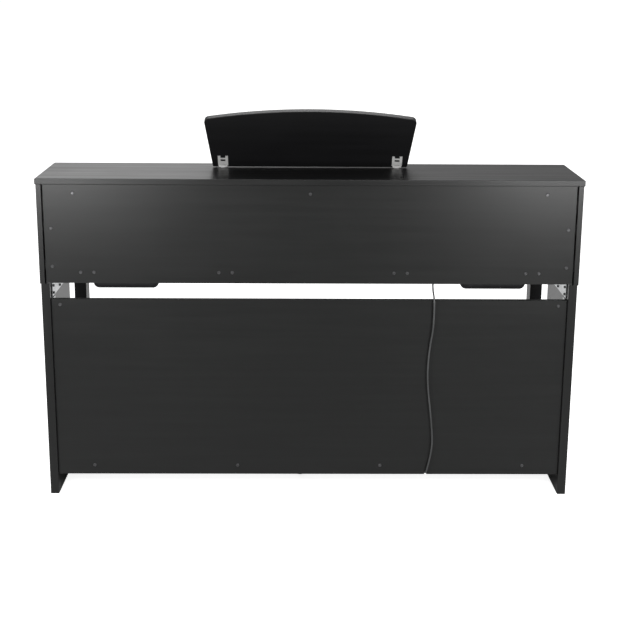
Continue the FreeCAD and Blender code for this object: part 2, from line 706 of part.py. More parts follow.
def speaker_housing_right():
    """Shallow tray under the key bed with a slotted floor for the sound."""
    x_low = SPEAKER_X - HOUSING_WIDTH / 2
    x_high = SPEAKER_X + HOUSING_WIDTH / 2
    back = SPEAKER_SETBACK - HOUSING_LENGTH / 2
    front = SPEAKER_SETBACK + HOUSING_LENGTH / 2
    bottom = CONSOLE_BOTTOM - HOUSING_DROP
    tray = block(x_low, x_high, back, front, bottom, CONSOLE_BOTTOM)
    rounded = [edge for edge in tray.Edges if edge.BoundBox.ZMax < CONSOLE_BOTTOM - 0.1
               or edge.BoundBox.ZLength > 1]
    tray = tray.makeFillet(HOUSING_CORNER, rounded)
    inner = block(x_low + HOUSING_WALL, x_high - HOUSING_WALL, back + HOUSING_WALL,
                  front - HOUSING_WALL, bottom + HOUSING_WALL, CONSOLE_BOTTOM)
    hollow_edges = [edge for edge in inner.Edges if edge.BoundBox.ZMax < CONSOLE_BOTTOM - 0.1
                    or edge.BoundBox.ZLength > 1]
    inner = inner.makeFillet(HOUSING_CORNER - HOUSING_WALL, hollow_edges)
    return tray.cut([inner] + sound_slots(bottom))


def sound_slots(bottom):
    """Slots through the tray's floor, one behind the other."""
    half = SOUND_SLOT_LENGTH / 2
    slots = []
    for index in range(SOUND_SLOTS):
        middle = SPEAKER_SETBACK + (index - (SOUND_SLOTS - 1) / 2) * SOUND_SLOT_PITCH
        slots.append(block(SPEAKER_X - half, SPEAKER_X + half,
                           middle - SOUND_SLOT_WIDTH / 2, middle + SOUND_SLOT_WIDTH / 2,
                           bottom - 1, bottom + HOUSING_WALL + 1))
    return slots


def speaker_driver_right():
    """Driver on the key bed, facing down through the round hole."""
    middle = FreeCAD.Vector(SPEAKER_X, from_back(SPEAKER_SETBACK), KEY_BED_TOP)
    up = FreeCAD.Vector(0, 0, 1)
    flange = Part.makeCylinder(65.0, 3.0, middle)
    basket = Part.makeCone(54.0, 30.0, 26.0, middle + up * 3.0)
    magnet = Part.makeCylinder(38.0, 18.0, middle + up * 29.0)
    bowl = Part.makeCone(52.0, 16.0, 22.0, middle)
    dome = Part.makeCylinder(15.0, 4.0, middle + up * 18.0)
    return fused([flange, basket, magnet]).cut(bowl).fuse(dome).removeSplitter()


def main_circuit_board():
    """Sound and amplifier board on four pillars, with its chips and heat sink."""
    board_bottom = KEY_BED_TOP + 8
    board_top = board_bottom + 1.6
    pieces = [block(-150, 150, 60, 160, board_bottom, board_top)]
    for x in (-142, 142):
        for setback in (68, 152):
            pieces.append(upright_cylinder(x, setback, KEY_BED_TOP, board_bottom, 4.0))
    for x in (-90, -40, 20):
        pieces.append(block(x, x + 28, 95, 123, board_top, board_top + 3))
    pieces.append(block(70, 130, 75, 90, board_top, board_top + 28))
    for x in (-110, -85, 60, 85):
        pieces.append(upright_cylinder(x, 140, board_top, board_top + 18, 7.0))
    return fused(pieces)


def socket_box():
    """Moulded box in the key bed's rear notch; the pedal socket faces down."""
    box = block(SOCKET_X - SOCKET_BOX_HALF, SOCKET_X + SOCKET_BOX_HALF, PANEL_FRONT,
                SOCKET_BOX_FRONT, SOCKET_FACE, SOCKET_BOX_TOP)
    pedal_hole = upright_cylinder(SOCKET_X, SOCKET_SETBACK, SOCKET_FACE,
                                  SOCKET_FACE + PLUG_PIN_LENGTH, PLUG_PIN_RADIUS)
    return box.cut(pedal_hole)


def power_inlet_box():
    """Small box under the key bed; the mains adaptor's plug goes in from below."""
    bottom = CONSOLE_BOTTOM - INLET_BOX_DROP
    box = block(INLET_X - INLET_BOX_HALF_WIDTH, INLET_X + INLET_BOX_HALF_WIDTH,
                INLET_SETBACK - INLET_BOX_HALF_DEPTH, INLET_SETBACK + INLET_BOX_HALF_DEPTH,
                bottom, CONSOLE_BOTTOM)
    box = box.makeFillet(3.0, edges_along(box, FreeCAD.Vector(0, 0, 1)))
    return box.cut(upright_cylinder(INLET_X, INLET_SETBACK, bottom, bottom + INLET_DEPTH,
                                    INLET_RADIUS))


def headphone_box():
    """Two headphone jacks in a box under the key bed, facing the player."""
    box = block(JACK_X - JACK_BOX_HALF_WIDTH, JACK_X + JACK_BOX_HALF_WIDTH, JACK_BOX_BACK,
                JACK_BOX_FRONT, CONSOLE_BOTTOM - JACK_BOX_DROP, CONSOLE_BOTTOM)
    box = box.makeFillet(4.0, [edge for edge in edges_along(box, FreeCAD.Vector(0, 1, 0))
                               if edge.BoundBox.ZMax < CONSOLE_BOTTOM - 1])
    holes = [cylinder_along_depth(JACK_X + side * JACK_SPACING / 2, JACK_HEIGHT,
                                  JACK_BOX_FRONT - JACK_DEPTH, JACK_BOX_FRONT, JACK_RADIUS)
             for side in (-1, 1)]
    return box.cut(holes)


# ---- music rest ----

def rest_frame(shape):
    """Lean a piece drawn upright at the rest's bottom back edge, then put it there."""
    shape.rotate(FreeCAD.Vector(0, 0, 0), FreeCAD.Vector(1, 0, 0), -REST_LEAN)
    shape.translate(FreeCAD.Vector(0, from_back(REST_FOOT_SETBACK), REST_FOOT_HEIGHT))
    return shape


def crown_height(x):
    """Height of the rest's arched top edge at this X."""
    return REST_CROWN - x * x / (2 * REST_TOP_RADIUS)


def music_rest():
    """Flared board with an arched top edge and rounded corners."""
    shoulder = crown_height(REST_TOP_HALF)
    bottom_left = FreeCAD.Vector(-REST_BOTTOM_HALF, 0, 0)
    bottom_right = FreeCAD.Vector(REST_BOTTOM_HALF, 0, 0)
    top_left = FreeCAD.Vector(-REST_TOP_HALF, 0, shoulder)
    top_right = FreeCAD.Vector(REST_TOP_HALF, 0, shoulder)
    crown = Part.Arc(top_right, FreeCAD.Vector(0, 0, REST_CROWN), top_left).toShape()
    outline = Part.Wire([Part.makeLine(bottom_left, bottom_right),
                         Part.makeLine(bottom_right, top_right), crown,
                         Part.makeLine(top_left, bottom_left)])
    board = Part.Face(outline).extrude(FreeCAD.Vector(0, -BOARD, 0))
    upper = [edge for edge in edges_along(board, FreeCAD.Vector(0, 1, 0))
             if edge.BoundBox.ZMin > 1]
    board = board.makeFillet(REST_CORNER, upper)
    lower = [edge for edge in edges_along(board, FreeCAD.Vector(0, 1, 0))
             if edge.BoundBox.ZMax < 1]
    board = board.makeFillet(4.0, lower)
    rims = [edge for edge in board.Edges if edge.BoundBox.YLength < 0.01]
    return rest_frame(board.makeFillet(REST_RIM_RADIUS, rims))


def rest_axis():
    """Hinge axis of the rest as (y, z)."""
    return (from_back(REST_FOOT_SETBACK) + REST_AXIS_BEHIND,
            REST_FOOT_HEIGHT + REST_AXIS_ABOVE)


def clip_window(bottom, height):
    """An opening across the middle of the right clip's plate, drawn upright."""
    corner = FreeCAD.Vector(CLIP_CENTRE - CLIP_WINDOW / 2, -1, bottom)
    return Part.makeBox(CLIP_WINDOW, CLIP_THICKNESS + 2, height, corner)


def rest_clip_right():
    """Nickel plate on the rest's back with two knuckles round the hinge pin."""
    x_low = CLIP_CENTRE - CLIP_WIDTH / 2
    plate = Part.makeBox(CLIP_WIDTH, CLIP_THICKNESS, CLIP_TOP - CLIP_BOTTOM,
                         FreeCAD.Vector(x_low, 0, CLIP_BOTTOM))
    lower = [edge for edge in edges_along(plate, FreeCAD.Vector(0, 1, 0))
             if edge.BoundBox.ZMax < CLIP_BOTTOM + 1]
    plate = plate.makeChamfer(CLIP_CORNER, lower)
    plate = rest_frame(plate.cut([clip_window(CLIP_TOP - CLIP_NOTCH_DEPTH, CLIP_NOTCH_DEPTH),
                                  clip_window(CLIP_SLOT_BOTTOM, CLIP_SLOT_HEIGHT),
                                  clip_window(0, HINGE_WINDOW_TOP)]))
    y, z = rest_axis()
    half = CLIP_WIDTH / 2
    inner = MIDDLE_KNUCKLE / 2 + KNUCKLE_GAP
    knuckles = [cylinder_along_x(CLIP_CENTRE + inner, CLIP_CENTRE + half - 3, y, z,
                                 KNUCKLE_RADIUS),
                cylinder_along_x(CLIP_CENTRE - half + 3, CLIP_CENTRE - inner, y, z,
                                 KNUCKLE_RADIUS)]
    pin_space = cylinder_along_x(x_low - 1, x_low + CLIP_WIDTH + 1, y, z,
                                 HINGE_PIN_RADIUS + RUNNING_CLEARANCE)
    return fused([plate] + knuckles).cut(pin_space)


def hinge_stud(x):
    """Stud that fixes a hinge ear in the lid."""
    y, z = rest_axis()
    return Part.makeCylinder(HINGE_STUD_RADIUS, HINGE_STUD_LENGTH,
                             FreeCAD.Vector(x, y, HEIGHT - HINGE_STUD_LENGTH))


def hinge_ear(x):
    """Ear on the lid that carries the hinge pin between a clip's knuckles."""
    y, z = rest_axis()
    half = MIDDLE_KNUCKLE / 2
    knuckle = cylinder_along_x(x - half, x + half, y, z, KNUCKLE_RADIUS)
    web = Part.makeBox(MIDDLE_KNUCKLE, 2 * KNUCKLE_RADIUS, z - HEIGHT,
                       FreeCAD.Vector(x - half, y - KNUCKLE_RADIUS, HEIGHT))
    pin = cylinder_along_x(x - CLIP_WIDTH / 2 + 2, x + CLIP_WIDTH / 2 - 2, y, z,
                           HINGE_PIN_RADIUS)
    return fused([knuckle, web, pin, hinge_stud(x)])


def rest_hinge_ears():
    return Part.makeCompound([hinge_ear(x) for x in (-CLIP_CENTRE, CLIP_CENTRE)])


# ---- stand ----

def side_board_right():
    board = block(SIDE_INNER, SIDE_OUTER, SIDE_SETBACK, SIDE_FRONT, 0, CONSOLE_BOTTOM)
    rear = [edge for edge in edges_along(board, FreeCAD.Vector(0, 0, 1))
            if edge.BoundBox.YMin > from_back(SIDE_SETBACK + 1)]
    groove = block(SIDE_INNER - 1, SIDE_INNER + PANEL_GROOVE_DEPTH,
                   TONGUE_BACK - TONGUE_CLEARANCE, TONGUE_FRONT + TONGUE_CLEARANCE,
                   STAND_PANEL_BOTTOM - TONGUE_CLEARANCE, CONSOLE_BOTTOM)
    return board.makeFillet(1.5, rear).cut(bracket_screw_shapes() + [groove])


def foot_right():
    """Sill that runs forward from the side board and carries the front leg."""
    foot = block(SIDE_OUTER - LEG_WIDTH, SIDE_OUTER, SIDE_FRONT, DEPTH, 0, FOOT_HEIGHT)
    nose = [edge for edge in edges_along(foot, FreeCAD.Vector(1, 0, 0))
            if edge.BoundBox.YMax < from_back(DEPTH - 1) and edge.BoundBox.ZMin > 1]
    return foot.makeFillet(2.5, nose)


def front_leg_right():
    leg = block(SIDE_OUTER - LEG_WIDTH, SIDE_OUTER, LEG_BACK, LEG_FRONT,
                FOOT_HEIGHT, CONSOLE_BOTTOM)
    return leg.makeFillet(LEG_EDGE_RADIUS, edges_along(leg, FreeCAD.Vector(0, 0, 1)))


def stand_back_panel():
    """Panel with a tongue at each end that slides down the side boards' grooves."""
    half = SIDE_INNER - STAND_PANEL_GAP
    panel = block(-half, half, PANEL_SETBACK, PANEL_FRONT, STAND_PANEL_BOTTOM, STAND_PANEL_TOP)
    tongue_half = SIDE_INNER + TONGUE_LENGTH
    tongues = block(-tongue_half, tongue_half, TONGUE_BACK, TONGUE_FRONT,
                    STAND_PANEL_BOTTOM, STAND_PANEL_TOP)
    panel = fused([panel, tongues])
    notch = block(GLAND_X - CABLE_NOTCH_WIDTH / 2, GLAND_X + CABLE_NOTCH_WIDTH / 2,
                  PANEL_SETBACK, PANEL_FRONT, STAND_PANEL_BOTTOM, CABLE_NOTCH_TOP)
    return panel.cut([notch] + [screw_hole(x, z) for x, z in lower_panel_screws()])


# ---- pedal box and pedals ----

def pedal_pocket(x):
    return block(x - POCKET_WIDTH / 2, x + POCKET_WIDTH / 2, POCKET_BACK, PEDAL_BOX_FRONT,
                 POCKET_BOTTOM, POCKET_TOP)


def pedal_shaft():
    """Steel shaft that all three pedals pivot on."""
    return cylinder_along_x(-SHAFT_HALF_LENGTH, SHAFT_HALF_LENGTH,
                            from_back(PEDAL_PIVOT), PEDAL_PIVOT_HEIGHT, PEDAL_SHAFT_RADIUS)


def pedal_box():
    """Cross beam between the side boards, with a pocket for each pedal."""
    box = block(-SIDE_INNER, SIDE_INNER, PANEL_FRONT, PEDAL_BOX_FRONT,
                PEDAL_BOX_BOTTOM, PEDAL_BOX_TOP)
    front = [edge for edge in edges_along(box, FreeCAD.Vector(1, 0, 0))
             if edge.BoundBox.YMax < from_back(PEDAL_BOX_FRONT - 1)]
    box = box.makeFillet(3.0, front)
    spaces = [pedal_pocket(x) for x in PEDAL_POSITIONS.values()]
    spaces.append(pedal_shaft())
    spaces.append(upright_cylinder(ADJUSTER_X, ADJUSTER_SETBACK, PEDAL_BOX_BOTTOM - 1,
                                   ADJUSTER_BORE_TOP,
                                   ADJUSTER_STEM_RADIUS + RUNNING_CLEARANCE))
    spaces.append(cylinder_along_depth(GLAND_X, GLAND_HEIGHT, PANEL_FRONT - 1,
                                       PANEL_FRONT + GLAND_BARREL, GLAND_RADIUS))
    spaces += [screw_hole(x, z) for x, z in PEDAL_BOX_SCREWS]
    return box.cut(spaces)


def pedal(x):
    """Plated lever: a narrow stem on the shaft and a broad rounded toe plate."""
    half_stem = PEDAL_STEM_WIDTH / 2
    half_tip = PEDAL_TIP_WIDTH / 2
    taper_start = PEDAL_BOX_FRONT + PEDAL_TAPER_START
    taper_end = PEDAL_BOX_FRONT + PEDAL_TAPER_END
    half_outline = [(half_stem, PEDAL_PIVOT - 12), (half_stem, taper_start),
                    (half_tip, taper_end), (half_tip, PEDAL_TIP)]
    outline = [(x - half, setback) for half, setback in half_outline]
    outline += [(x + half, setback) for half, setback in reversed(half_outline)]
    bottom = PEDAL_PIVOT_HEIGHT - PEDAL_THICKNESS / 2
    corners = [FreeCAD.Vector(px, from_back(s), bottom) for px, s in outline]
    plate = Part.Face(Part.makePolygon(corners + corners[:1]))
    lever = plate.extrude(FreeCAD.Vector(0, 0, PEDAL_THICKNESS))
    tip = [edge for edge in edges_along(lever, FreeCAD.Vector(0, 0, 1))
           if edge.BoundBox.YMax < from_back(PEDAL_TIP - 1)]
    lever = lever.makeFillet(PEDAL_TIP_RADIUS, tip)
    crown = [edge for edge in lever.Edges
             if edge.BoundBox.ZMin > bottom + PEDAL_THICKNESS - 0.1]
    lever = lever.makeFillet(2.0, crown)
    pivot_y = from_back(PEDAL_PIVOT)
    hub = cylinder_along_x(x - half_stem, x + half_stem, pivot_y, PEDAL_PIVOT_HEIGHT,
                           PEDAL_HUB_RADIUS)
    bore = cylinder_along_x(x - half_stem - 1, x + half_stem + 1, pivot_y,
                            PEDAL_PIVOT_HEIGHT, PEDAL_SHAFT_RADIUS + RUNNING_CLEARANCE)
    return fused([lever, hub]).cut(bore)


def adjuster_foot():
    """Height adjuster that props the pedal box off the floor."""
    disc = upright_cylinder(ADJUSTER_X, ADJUSTER_SETBACK, 0, ADJUSTER_DISC, ADJUSTER_RADIUS)
    disc = disc.makeChamfer(1.5, [edge for edge in disc.Edges
                                  if edge.BoundBox.ZMin > ADJUSTER_DISC - 1])
    stem = upright_cylinder(ADJUSTER_X, ADJUSTER_SETBACK, ADJUSTER_DISC, ADJUSTER_TOP,
                            ADJUSTER_STEM_RADIUS)
    return fused([disc, stem])


# ---- pedal cable ----

# Route of the cable's centre line as (x, setback, height), from the plug to the gland.
CABLE_ROUTE = [
    (SOCKET_X, SOCKET_SETBACK, CABLE_TOP),
    (SOCKET_X, SOCKET_SETBACK, 560.0),
    (-319.5, 1.5, 543.5),
    (-320.5, 4.5, 505.0),
    (-319.0, 3.0, 462.0),
    (-312.0, 4.5, 415.0),
    (-307.5, 3.0, 360.0),
    (-309.0, 4.5, 308.0),
    (-316.0, 3.0, 250.0),
    (-322.5, 4.5, 195.0),
    (-326.0, 3.0, 145.0),
    (-321.0, 4.5, 104.0),
    (-315.5, 3.5, 80.0),
    (GLAND_X, 5.0, GLAND_HEIGHT),
    (GLAND_X, PANEL_FRONT, GLAND_HEIGHT),
]


def cable_path():
    """Straight runs joined by tangent arcs; also the smallest bend radius."""
    points = [FreeCAD.Vector(x, from_back(s), z) for x, s, z in CABLE_ROUTE]
    edges = []
    radii = []
    start = points[0]
    for before, corner, after in zip(points, points[1:], points[2:]):
        incoming = before - corner
        outgoing = after - corner
        cut = 0.45 * min(incoming.Length, outgoing.Length)
        turn = math.pi - incoming.getAngle(outgoing)
        radius = cut / math.tan(turn / 2)
        radii.append(radius)
        arc_start = corner + incoming.normalize() * cut
        arc_end = corner + outgoing.normalize() * cut
        middle = incoming + outgoing
        sagitta = radius / math.cos(turn / 2) - radius
        arc_middle = corner + middle.normalize() * sagitta
        edges.append(Part.LineSegment(start, arc_start).toShape())
        edges.append(Part.Arc(arc_start, arc_middle, arc_end).toShape())
        start = arc_end
    edges.append(Part.LineSegment(start, points[-1]).toShape())
    return Part.Wire(edges), radii


def pedal_cable():
    path, radii = cable_path()
    downwards = FreeCAD.Vector(0, 0, -1)
    section = Part.makeCircle(CABLE_DIAMETER / 2, path.Vertexes[0].Point, downwards)
    cable = path.makePipeShell([Part.Wire(section)], True, True)
    expected = math.pi * (CABLE_DIAMETER / 2) ** 2 * path.Length
    print("cable length %.1f mm, volume ratio %.4f" % (path.Length, cable.Volume / expected))
    print("bend radii", [round(radius, 1) for radius in radii])
    return cable


def pedal_plug():
    """Plug pushed up into the pedal socket."""
    neck = upright_cylinder(SOCKET_X, SOCKET_SETBACK, CABLE_TOP, PLUG_NECK_TOP, PLUG_NECK_RADIUS)
    body = upright_cylinder(SOCKET_X, SOCKET_SETBACK, PLUG_NECK_TOP, SOCKET_FACE, PLUG_RADIUS)
    pin = upright_cylinder(SOCKET_X, SOCKET_SETBACK, SOCKET_FACE,
                           SOCKET_FACE + PLUG_PIN_LENGTH, PLUG_PIN_RADIUS)
    return fused([neck, body, pin])


def cable_gland():
    """Rubber bush, flush with the pedal box's back, where the cable goes in."""
    return cylinder_along_depth(GLAND_X, GLAND_HEIGHT, PANEL_FRONT,
                                PANEL_FRONT + GLAND_BARREL, GLAND_RADIUS)


# ---- every sub-part by node name ----

def sub_parts():
    parts = {
        "lid_top": lid_top(),
        "lid_front_rail": lid_front_rail(),
        "console_back_panel": console_back_panel(),
        "key_bed": key_bed(),
        "key_slip": key_slip(),
        "end_block_left": end_block_left(),
        "end_block_right": end_block_right(),
        "power_button": power_button(),
        "volume_knob": volume_knob(),
        "key_cover": key_cover(),
        "key_cover_rail": key_cover_rail(),
        "key_frame": key_frame(),
        "main_circuit_board": main_circuit_board(),
        "key_rod": key_rod(),
        "socket_box": socket_box(),
        "power_inlet_box": power_inlet_box(),
        "headphone_box": headphone_box(),
        "music_rest": music_rest(),
        "rest_hinge_ears": rest_hinge_ears(),
        "stand_back_panel": stand_back_panel(),
        "panel_brackets": panel_brackets(),
        "panel_screws": panel_screws(),
        "bracket_screws": bracket_screws(),
        "pedal_box": pedal_box(),
        "pedal_shaft": pedal_shaft(),
        "adjuster_foot": adjuster_foot(),
        "pedal_cable": pedal_cable(),
        "pedal_plug": pedal_plug(),
        "cable_gland": cable_gland(),
    }
    pairs = {
        "cheek": cheek_right(),
        "speaker_housing": speaker_housing_right(),
        "speaker_driver": speaker_driver_right(),
        "rest_clip": rest_clip_right(),
        "angle_bracket": angle_bracket_right(),
        "side_board": side_board_right(),
        "foot": foot_right(),
        "front_leg": front_leg_right(),
    }
    for name, shape in pairs.items():
        parts[name + "_right"] = shape
        parts[name + "_left"] = mirrored(shape)
    for name, x in PEDAL_POSITIONS.items():
        parts[name] = pedal(x)
    for name, keys in keyboard().items():
        parts[name] = keys[0] if len(keys) == 1 else Part.makeCompound(keys)
    return parts


def main():
    os.makedirs("parts", exist_ok=True)
    parts = sub_parts()
    for name, shape in parts.items():
        if not shape.isValid():
            print("not valid:", name)
        shape.exportStep("parts/" + name + ".step")
    print(len(parts), "sub-parts")


main()
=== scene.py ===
import json
import math

import bpy
from mathutils import Matrix, Vector


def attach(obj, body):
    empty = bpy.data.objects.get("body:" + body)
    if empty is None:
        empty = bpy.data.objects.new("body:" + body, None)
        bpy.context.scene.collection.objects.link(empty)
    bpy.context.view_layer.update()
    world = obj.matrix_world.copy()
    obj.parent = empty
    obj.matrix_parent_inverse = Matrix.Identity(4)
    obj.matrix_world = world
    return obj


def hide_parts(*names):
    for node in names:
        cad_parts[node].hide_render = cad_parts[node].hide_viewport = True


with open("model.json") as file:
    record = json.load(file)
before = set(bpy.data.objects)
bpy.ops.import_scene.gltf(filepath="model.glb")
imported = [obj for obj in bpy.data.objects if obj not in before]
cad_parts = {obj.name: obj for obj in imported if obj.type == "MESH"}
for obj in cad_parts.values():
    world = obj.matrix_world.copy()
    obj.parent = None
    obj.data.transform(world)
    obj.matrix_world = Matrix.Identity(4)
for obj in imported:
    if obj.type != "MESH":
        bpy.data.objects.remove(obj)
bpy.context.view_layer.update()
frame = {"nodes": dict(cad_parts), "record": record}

NODES = frame["nodes"]

# The lid's back edge in the row frame, in metres; setbacks are measured forward from it.
REAR = 0.2125


def from_back(setback_mm):
    return REAR - setback_mm / 1000


def point(x_mm, setback_mm, z_mm):
    return Vector((x_mm / 1000, from_back(setback_mm), z_mm / 1000))


# ---------------------------------------------------------------- materials

def socket_value(node, name, value):
    node.inputs[name].default_value = value


class Nodes:
    """Small helper that builds one material's node tree."""

    def __init__(self, name):
        self.material = bpy.data.materials.new(name)
        self.material.use_nodes = True
        self.tree = self.material.node_tree
        self.tree.nodes.clear()
        self.output = self.add("ShaderNodeOutputMaterial")
        self.shader = self.add("ShaderNodeBsdfPrincipled")
        self.link(self.shader.outputs["BSDF"], self.output.inputs["Surface"])
        self.coordinates = self.add("ShaderNodeTexCoord").outputs["Object"]

    def add(self, kind):
        return self.tree.nodes.new(kind)

    def link(self, source, target):
        self.tree.links.new(source, target)

    def noise(self, scale, stretch=(1, 1, 1), detail=5.0, roughness=0.55, distortion=0.0):
        """Noise of that scale per metre, drawn out along the axes with small stretch."""
        mapping = self.add("ShaderNodeMapping")
        socket_value(mapping, "Scale", stretch)
        self.link(self.coordinates, mapping.inputs["Vector"])
        noise = self.add("ShaderNodeTexNoise")
        socket_value(noise, "Scale", scale)
        socket_value(noise, "Detail", detail)
        socket_value(noise, "Roughness", roughness)
        socket_value(noise, "Distortion", distortion)
        self.link(mapping.outputs["Vector"], noise.inputs["Vector"])
        return noise.outputs["Fac"]

    def remap(self, source, low, high, to_low, to_high):
        node = self.add("ShaderNodeMapRange")
        socket_value(node, "From Min", low)
        socket_value(node, "From Max", high)
        socket_value(node, "To Min", to_low)
        socket_value(node, "To Max", to_high)
        self.link(source, node.inputs["Value"])
        return node.outputs["Result"]

    def math(self, operation, a, b):
        node = self.add("ShaderNodeMath")
        node.operation = operation
        for index, value in enumerate((a, b)):
            if isinstance(value, (int, float)):
                node.inputs[index].default_value = value
            else:
                self.link(value, node.inputs[index])
        return node.outputs["Value"]

    def mix(self, factor, a, b):
        """Colour mix; a and b are (r, g, b) or sockets."""
        node = self.add("ShaderNodeMix")
        node.data_type = "RGBA"
        if isinstance(factor, (int, float)):
            node.inputs[0].default_value = factor
        else:
            self.link(factor, node.inputs[0])
        for index, value in ((6, a), (7, b)):
            if isinstance(value, tuple):
                node.inputs[index].default_value = (*value, 1.0)
            else:
                self.link(value, node.inputs[index])
        return node.outputs[2]

    def edges(self, radius, gain):
        """0 on flat faces rising to 1 at edges, which the materials paint paler: rubbing, and on
        the foil also a painted highlight.
        """
        bevel = self.add("ShaderNodeBevel")
        bevel.samples = 6
        socket_value(bevel, "Radius", radius)
        geometry = self.add("ShaderNodeNewGeometry")
        dot = self.add("ShaderNodeVectorMath")
        dot.operation = "DOT_PRODUCT"
        self.link(bevel.outputs["Normal"], dot.inputs[0])
        self.link(geometry.outputs["Normal"], dot.inputs[1])
        bent = self.math("SUBTRACT", 1.0, dot.outputs["Value"])
        scaled = self.math("MULTIPLY", bent, gain)
        return self.math("MINIMUM", scaled, 1.0)

    def upright(self):
        """1 on faces that stand upright, 0 on level ones."""
        geometry = self.add("ShaderNodeNewGeometry")
        parts = self.add("ShaderNodeSeparateXYZ")
        self.link(geometry.outputs["Normal"], parts.inputs["Vector"])
        return self.remap(self.math("ABSOLUTE", parts.outputs["Z"], 0.0), 0.9, 0.6, 0.0, 1.0)

    def bump(self, height, strength, distance):
        node = self.add("ShaderNodeBump")
        socket_value(node, "Strength", strength)
        socket_value(node, "Distance", distance)
        self.link(height, node.inputs["Height"])
        self.link(node.outputs["Normal"], self.shader.inputs["Normal"])

    def set(self, name, value):
        target = self.shader.inputs[name]
        if isinstance(value, (int, float)):
            target.default_value = value
        elif isinstance(value, tuple):
            target.default_value = (*value, 1.0)
        else:
            self.link(value, target)


RUBBING_AND_HIGHLIGHT_EDGE = 0.0012       # width of the pale edges, partly rubbing and partly a painted highlight, in metres
RUBBING_AND_HIGHLIGHT_GAIN = 3.0
STREAKS_PER_METRE = 70.0
PORES_PER_METRE = 900.0
MOTTLES_PER_METRE = 3.2
SMUDGES_PER_METRE = 9.0
GRAIN_STRENGTH = 0.05
GRAIN_DEPTH = 0.0003


def laminate(name, dark, light, grain, roughness, streakiness=1.0, edge_band=None, rubbing_and_highlight=0.5,
             gloss=0.5):
    """Black wood-grain foil: fine streaks along the board, faint mottling, paler edges that are
    partly rubbing and partly a painted highlight.
    grain is the stretch of the streaks along X, Y and Z. A level board can have an
    edge_band, given as (dark, light, roughness) for the faces that stand upright.
    Its rubbing-and-highlight amount sets how pale those edges are painted, and gloss is how
    strongly the foil reflects."""
    m = Nodes(name)
    streaks = m.noise(STREAKS_PER_METRE, grain, detail=7.0, roughness=0.6, distortion=0.1)
    pores = m.noise(PORES_PER_METRE, grain, detail=2.0, roughness=0.5)
    cloud = m.noise(MOTTLES_PER_METRE, detail=3.0)
    grain_line = m.remap(streaks, 0.35, 0.68, 0.0, 1.0)
    tone = m.mix(grain_line, dark, light)
    if edge_band:
        band_dark, band_light, band_roughness = edge_band
        band = m.upright()
        tone = m.mix(band, tone, m.mix(grain_line, band_dark, band_light))
    tone = m.mix(m.remap(cloud, 0.35, 0.65, 0.0, 0.3), tone, dark)
    # Paler edges: partly rubbing, partly a painted highlight, set strongest on the lid to light its
    # rounded edge.
    rubbing_and_highlight_mask = m.math("MULTIPLY", m.edges(RUBBING_AND_HIGHLIGHT_EDGE, RUBBING_AND_HIGHLIGHT_GAIN), m.remap(cloud, 0.3, 0.7, 0.25, 0.8))
    pale = tuple(min(1.0, c * 2.2 + 0.01) for c in light)
    m.set("Base Color", m.mix(m.math("MULTIPLY", rubbing_and_highlight_mask, rubbing_and_highlight), tone, pale))
    spread = 0.02 * streakiness
    rough = m.remap(streaks, 0.3, 0.7, roughness - spread, roughness + spread)
    if edge_band:
        extra = m.math("MULTIPLY", band, band_roughness - roughness)
        rough = m.math("ADD", rough, extra)
    smudge = m.remap(m.noise(SMUDGES_PER_METRE, detail=4.0), 0.42, 0.72, 0.0, 0.02)
    m.set("Roughness", m.math("ADD", rough, smudge))
    m.set("Specular IOR Level", gloss)
    height = m.math("ADD", m.math("MULTIPLY", streaks, 0.4 * streakiness), pores)
    m.bump(height, GRAIN_STRENGTH, GRAIN_DEPTH)
    return m.material


RUBBED_EDGE = 0.0006     # width of the bright edges on plastic and metal, in metres
CELLS_PER_METRE = 260.0  # zinc spangle


def plastic(name, colour, roughness, texture=900.0, bump=0.1, variation=0.25, edge=0.35):
    """Moulded plastic with a fine skin, slight tone variation and rubbed edges."""
    m = Nodes(name)
    cloud = m.noise(14.0, detail=4.0)
    grain = m.noise(texture, detail=2.0)
    darker = tuple(c * (1 - variation) for c in colour)
    tone = m.mix(m.remap(cloud, 0.35, 0.65, 0.0, 1.0), darker, colour)
    pale = tuple(min(1.0, c * 1.4 + 0.02) for c in colour)
    tone = m.mix(m.math("MULTIPLY", m.edges(RUBBED_EDGE, 2.5), edge), tone, pale)
    m.set("Base Color", tone)
    m.set("Roughness", m.remap(cloud, 0.3, 0.7, roughness - 0.05, roughness + 0.06))
    m.bump(grain, bump, 0.0002)
    return m.material


def metal(name, colour, roughness, brush=(1, 1, 1), bump=0.08, tarnish=None, spangle=0.0,
          metallic=1.0):
    """Plated or bare metal with brushing, cloudy tarnish and bright edges. spangle mixes in
    the crystal pattern of hot zinc."""
    m = Nodes(name)
    brushing = m.noise(700.0, brush, detail=3.0)
    cloud = m.noise(22.0, detail=5.0)
    tarnish = tarnish or tuple(c * 0.75 for c in colour)
    tone = m.mix(m.remap(cloud, 0.4, 0.7, 0.0, 0.7), colour, tarnish)
    if spangle:
        cells = m.add("ShaderNodeTexVoronoi")
        socket_value(cells, "Scale", CELLS_PER_METRE)
        m.link(m.coordinates, cells.inputs["Vector"])
        flakes = m.add("ShaderNodeSeparateColor")
        m.link(cells.outputs["Color"], flakes.inputs["Color"])
        tone = m.mix(m.math("MULTIPLY", flakes.outputs["Red"], spangle), tone,
                     tuple(c * 0.6 for c in colour))
    bright = tuple(min(1.0, c * 1.15 + 0.03) for c in colour)
    m.set("Base Color", m.mix(m.math("MULTIPLY", m.edges(RUBBED_EDGE, 2.0), 0.6), tone, bright))
    m.set("Metallic", metallic)
    rough = m.remap(brushing, 0.3, 0.7, roughness - 0.06, roughness + 0.08)
    m.set("Roughness", m.math("ADD", rough, m.remap(cloud, 0.45, 0.7, 0.0, 0.08)))
    m.bump(brushing, bump, 0.0001)
    return m.material


# Stretch of the wood grain: small along the direction in which the streaks run.
ALONG_X = (0.035, 1.0, 1.0)
ALONG_Y = (1.0, 0.05, 1.0)
ALONG_Z = (1.0, 1.0, 0.04)

